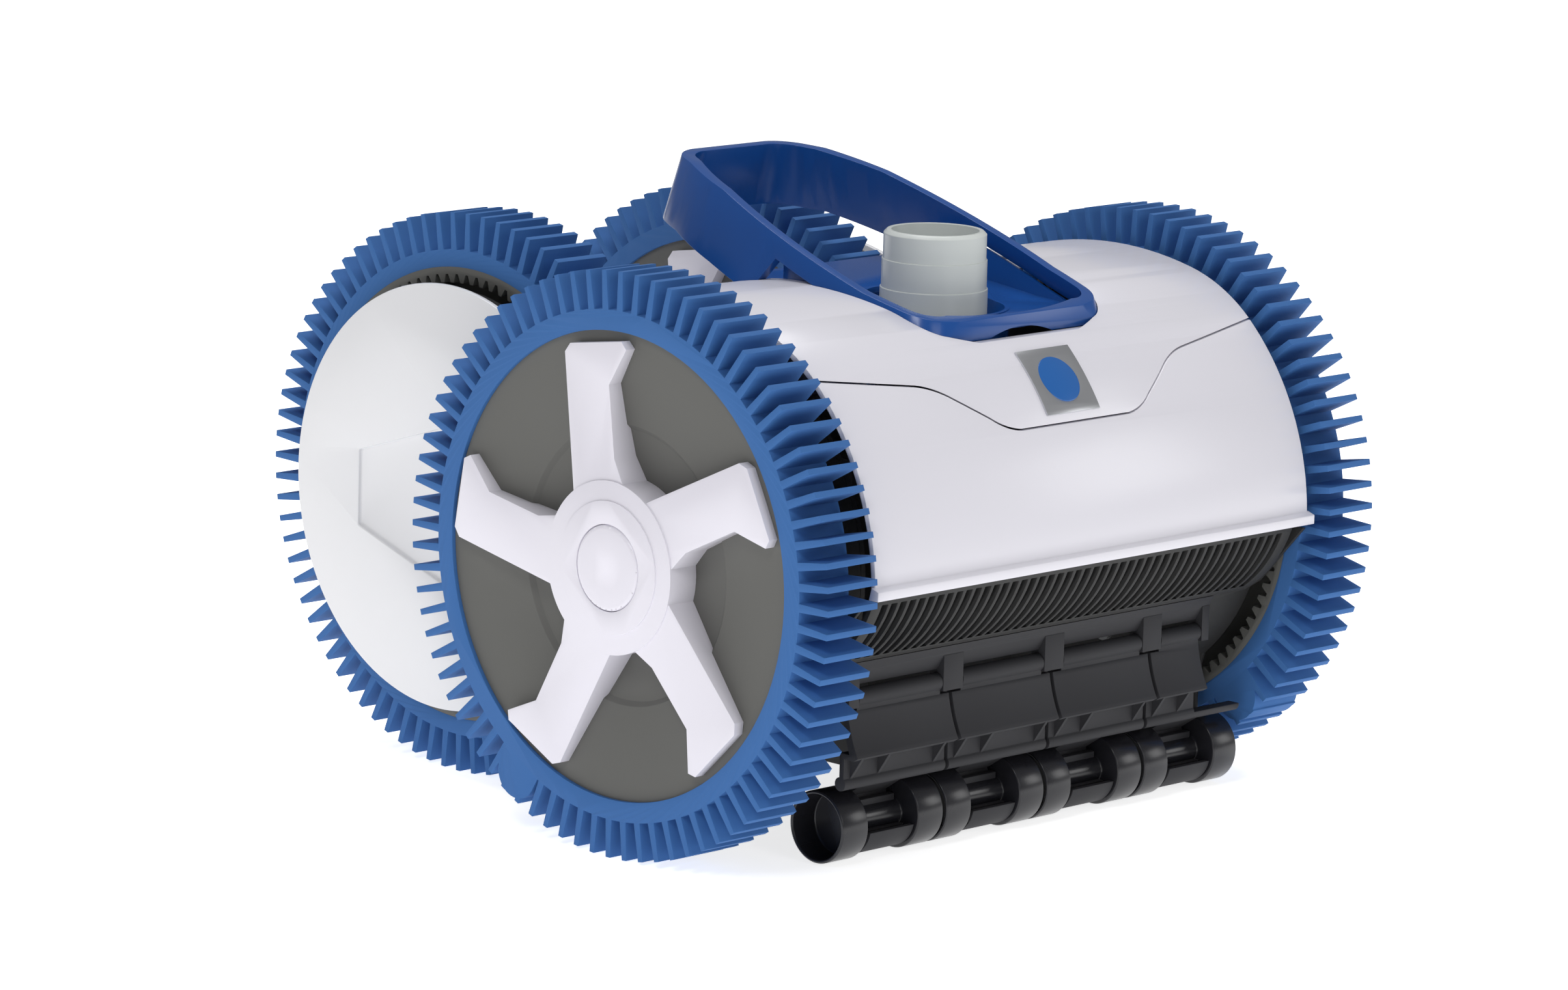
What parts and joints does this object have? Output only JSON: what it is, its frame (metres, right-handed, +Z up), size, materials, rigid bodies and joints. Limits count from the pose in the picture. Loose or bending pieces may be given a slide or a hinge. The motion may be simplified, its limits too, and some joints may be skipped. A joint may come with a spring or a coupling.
{
  "type": "pool cleaner",
  "caption": "Wheeled suction-side swimming pool cleaner with hinged roller skirts, a turbine drive train, a carrying ring and a swivelling hose cone.",
  "frame": {"origin": "bottom centre of the whole cleaner, on the floor under the middle of the wheelbase", "axes": "+Z up, +Y towards the tail, +X towards the side of the outboard rear-right gear case; the skirts face -Y"},
  "size_m": [0.355, 0.4088, 0.2775],
  "materials": {
    "tyre_blue": "satin moulded blue rubber",
    "disc_grey": "dished warm grey plastic with a fine moulded grain",
    "cap_white": "glossy lavender white",
    "ring_blue": "glossy deep blue",
    "cover_white": "glossy lavender white",
    "case_white": "glossy white",
    "frame_black": "satin black",
    "skirt_black": "satin black with a fine grain",
    "roller_black": "worn semi-gloss black",
    "cone_clear": "milky translucent",
    "collar_grey": "satin grey",
    "badge_silver": "brushed",
    "badge_blue": "glossy blue",
    "gear_white": "self-lubricating natural white",
    "gear_black": "satin black",
    "turbine_blue": "satin blue",
    "pin_steel": "turned",
    "bush_brass": "turned"
  },
  "bodies": {
    "chassis": {"chassis": "frame_black", "front_cover": "cover_white", "top_cover": "cover_white", "rear_cover": "cover_white", "front_grille": "frame_black", "mouth_plate": "skirt_black", "handle_ring": "ring_blue", "throat_well": "ring_blue", "badge_plate": "badge_silver", "badge_disc": "badge_blue", "left_gear_case": "frame_black", "left_case_lid": "frame_black", "left_case_panel": "case_white", "right_gear_case": "frame_black", "right_pod_lid": "frame_black", "right_case_lid": "frame_black", "right_case_panel": "case_white", "turbine_housing": "frame_black", "turbine_bushes": "bush_brass", "intake_funnel": "frame_black", "swivel_collar": "collar_grey", "skirt_hinge_rod": "pin_steel", "axle_pins": "pin_steel", "fork_guide": "pin_steel", "case_screws": "pin_steel"},
    "front_left_wheel": {"front_left_tyre": "tyre_blue", "front_left_rim": "disc_grey", "front_left_hub_cap": "cap_white", "front_left_cap_button": "cap_white"},
    "front_right_wheel": {"front_right_tyre": "tyre_blue", "front_right_rim": "disc_grey", "front_right_hub_cap": "cap_white", "front_right_cap_button": "cap_white"},
    "rear_left_wheel": {"rear_left_tyre": "tyre_blue", "rear_left_rim": "disc_grey", "rear_left_hub_cap": "cap_white", "rear_left_cap_button": "cap_white"},
    "rear_right_wheel": {"rear_right_tyre": "tyre_blue", "rear_right_rim": "disc_grey", "rear_right_hub_cap": "cap_white", "rear_right_cap_button": "cap_white"},
    "left_drive": {"left_drive_shaft": "gear_black", "left_drive_gear": "gear_white"},
    "right_drive": {"right_drive_shaft": "gear_black"},
    "right_free_gear": {"right_drive_gear": "gear_white"},
    "left_reduction": {"left_reduction_gear": "gear_white"},
    "right_reduction": {"right_reduction_gear": "gear_white"},
    "turbine": {"turbine_rotor": "turbine_blue", "turbine_shaft": "gear_black"},
    "clutch": {"clutch_sleeve": "turbine_blue"},
    "shifter": {"shift_fork": "gear_white"},
    "hose_swivel": {"hose_cone": "cone_clear"},
    "skirt_1": {"front_skirt_1": "skirt_black"},
    "roller_1": {"skirt_roller_1": "roller_black"},
    "skirt_2": {"front_skirt_2": "skirt_black"},
    "roller_2": {"skirt_roller_2": "roller_black"},
    "skirt_3": {"front_skirt_3": "skirt_black"},
    "roller_3": {"skirt_roller_3": "roller_black"},
    "skirt_4": {"front_skirt_4": "skirt_black"},
    "roller_4": {"skirt_roller_4": "roller_black"}
  },
  "joints": [
    {"name": "front_left_spin", "type": "hinge", "parent": "chassis", "child": "front_left_wheel", "pos_m": [0, -0.0794, 0.125], "axis": [1, 0, 0], "continuous": true},
    {"name": "front_right_spin", "type": "hinge", "parent": "chassis", "child": "front_right_wheel", "pos_m": [0, -0.0794, 0.125], "axis": [1, 0, 0], "continuous": true},
    {"name": "rear_left_spin", "type": "hinge", "parent": "chassis", "child": "rear_left_wheel", "pos_m": [0, 0.0794, 0.125], "axis": [1, 0, 0], "continuous": true},
    {"name": "rear_right_spin", "type": "hinge", "parent": "chassis", "child": "rear_right_wheel", "pos_m": [0, 0.0794, 0.125], "axis": [1, 0, 0], "continuous": true},
    {"name": "left_drive_spin", "type": "hinge", "parent": "chassis", "child": "left_drive", "pos_m": [0, 0, 0.125], "axis": [1, 0, 0], "continuous": true},
    {"name": "right_drive_spin", "type": "hinge", "parent": "chassis", "child": "right_drive", "pos_m": [0, 0, 0.125], "axis": [1, 0, 0], "continuous": true},
    {"name": "right_free_gear_spin", "type": "hinge", "parent": "chassis", "child": "right_free_gear", "pos_m": [0, 0, 0.125], "axis": [1, 0, 0], "continuous": true},
    {"name": "left_reduction_spin", "type": "hinge", "parent": "chassis", "child": "left_reduction", "pos_m": [0, -0.03576, 0.14703], "axis": [1, 0, 0], "continuous": true},
    {"name": "right_reduction_spin", "type": "hinge", "parent": "chassis", "child": "right_reduction", "pos_m": [0, -0.03576, 0.14703], "axis": [1, 0, 0], "continuous": true},
    {"name": "turbine_spin", "type": "hinge", "parent": "chassis", "child": "turbine", "pos_m": [0, -0.076, 0.135], "axis": [1, 0, 0], "continuous": true},
    {"name": "clutch_slide", "type": "slide", "parent": "right_drive", "child": "clutch", "axis": [1, 0, 0], "range_m": [0, 0.0026]},
    {"name": "fork_slide", "type": "slide", "parent": "chassis", "child": "shifter", "axis": [1, 0, 0], "range_m": [0, 0.0026]},
    {"name": "hose_swivel_spin", "type": "hinge", "parent": "chassis", "child": "hose_swivel", "pos_m": [0, -0.0964, 0], "axis": [0, 0, 1], "continuous": true},
    {"name": "skirt_1_swing", "type": "hinge", "parent": "chassis", "child": "skirt_1", "pos_m": [0, -0.1594, 0.074], "axis": [1, 0, 0], "range_deg": [0, 15]},
    {"name": "roller_1_spin", "type": "hinge", "parent": "skirt_1", "child": "roller_1", "pos_m": [0, -0.1454, 0.0166], "axis": [1, 0, 0], "continuous": true},
    {"name": "skirt_2_swing", "type": "hinge", "parent": "chassis", "child": "skirt_2", "pos_m": [0, -0.1594, 0.074], "axis": [1, 0, 0], "range_deg": [0, 15]},
    {"name": "roller_2_spin", "type": "hinge", "parent": "skirt_2", "child": "roller_2", "pos_m": [0, -0.1454, 0.0166], "axis": [1, 0, 0], "continuous": true},
    {"name": "skirt_3_swing", "type": "hinge", "parent": "chassis", "child": "skirt_3", "pos_m": [0, -0.1594, 0.074], "axis": [1, 0, 0], "range_deg": [0, 15]},
    {"name": "roller_3_spin", "type": "hinge", "parent": "skirt_3", "child": "roller_3", "pos_m": [0, -0.1454, 0.0166], "axis": [1, 0, 0], "continuous": true},
    {"name": "skirt_4_swing", "type": "hinge", "parent": "chassis", "child": "skirt_4", "pos_m": [0, -0.1594, 0.074], "axis": [1, 0, 0], "range_deg": [0, 15]},
    {"name": "roller_4_spin", "type": "hinge", "parent": "skirt_4", "child": "roller_4", "pos_m": [0, -0.1454, 0.0166], "axis": [1, 0, 0], "continuous": true}
  ],
  "couplings": [
    {"joint": "rear_left_spin", "follows": "front_left_spin", "ratio": 1},
    {"joint": "left_drive_spin", "follows": "front_left_spin", "ratio": 6},
    {"joint": "left_reduction_spin", "follows": "front_left_spin", "ratio": -12},
    {"joint": "turbine_spin", "follows": "front_left_spin", "ratio": 24},
    {"joint": "right_reduction_spin", "follows": "front_left_spin", "ratio": -12},
    {"joint": "right_free_gear_spin", "follows": "front_left_spin", "ratio": 6},
    {"joint": "rear_right_spin", "follows": "front_right_spin", "ratio": 1},
    {"joint": "right_drive_spin", "follows": "front_right_spin", "ratio": 6},
    {"joint": "fork_slide", "follows": "clutch_slide", "ratio": 1}
  ]
}
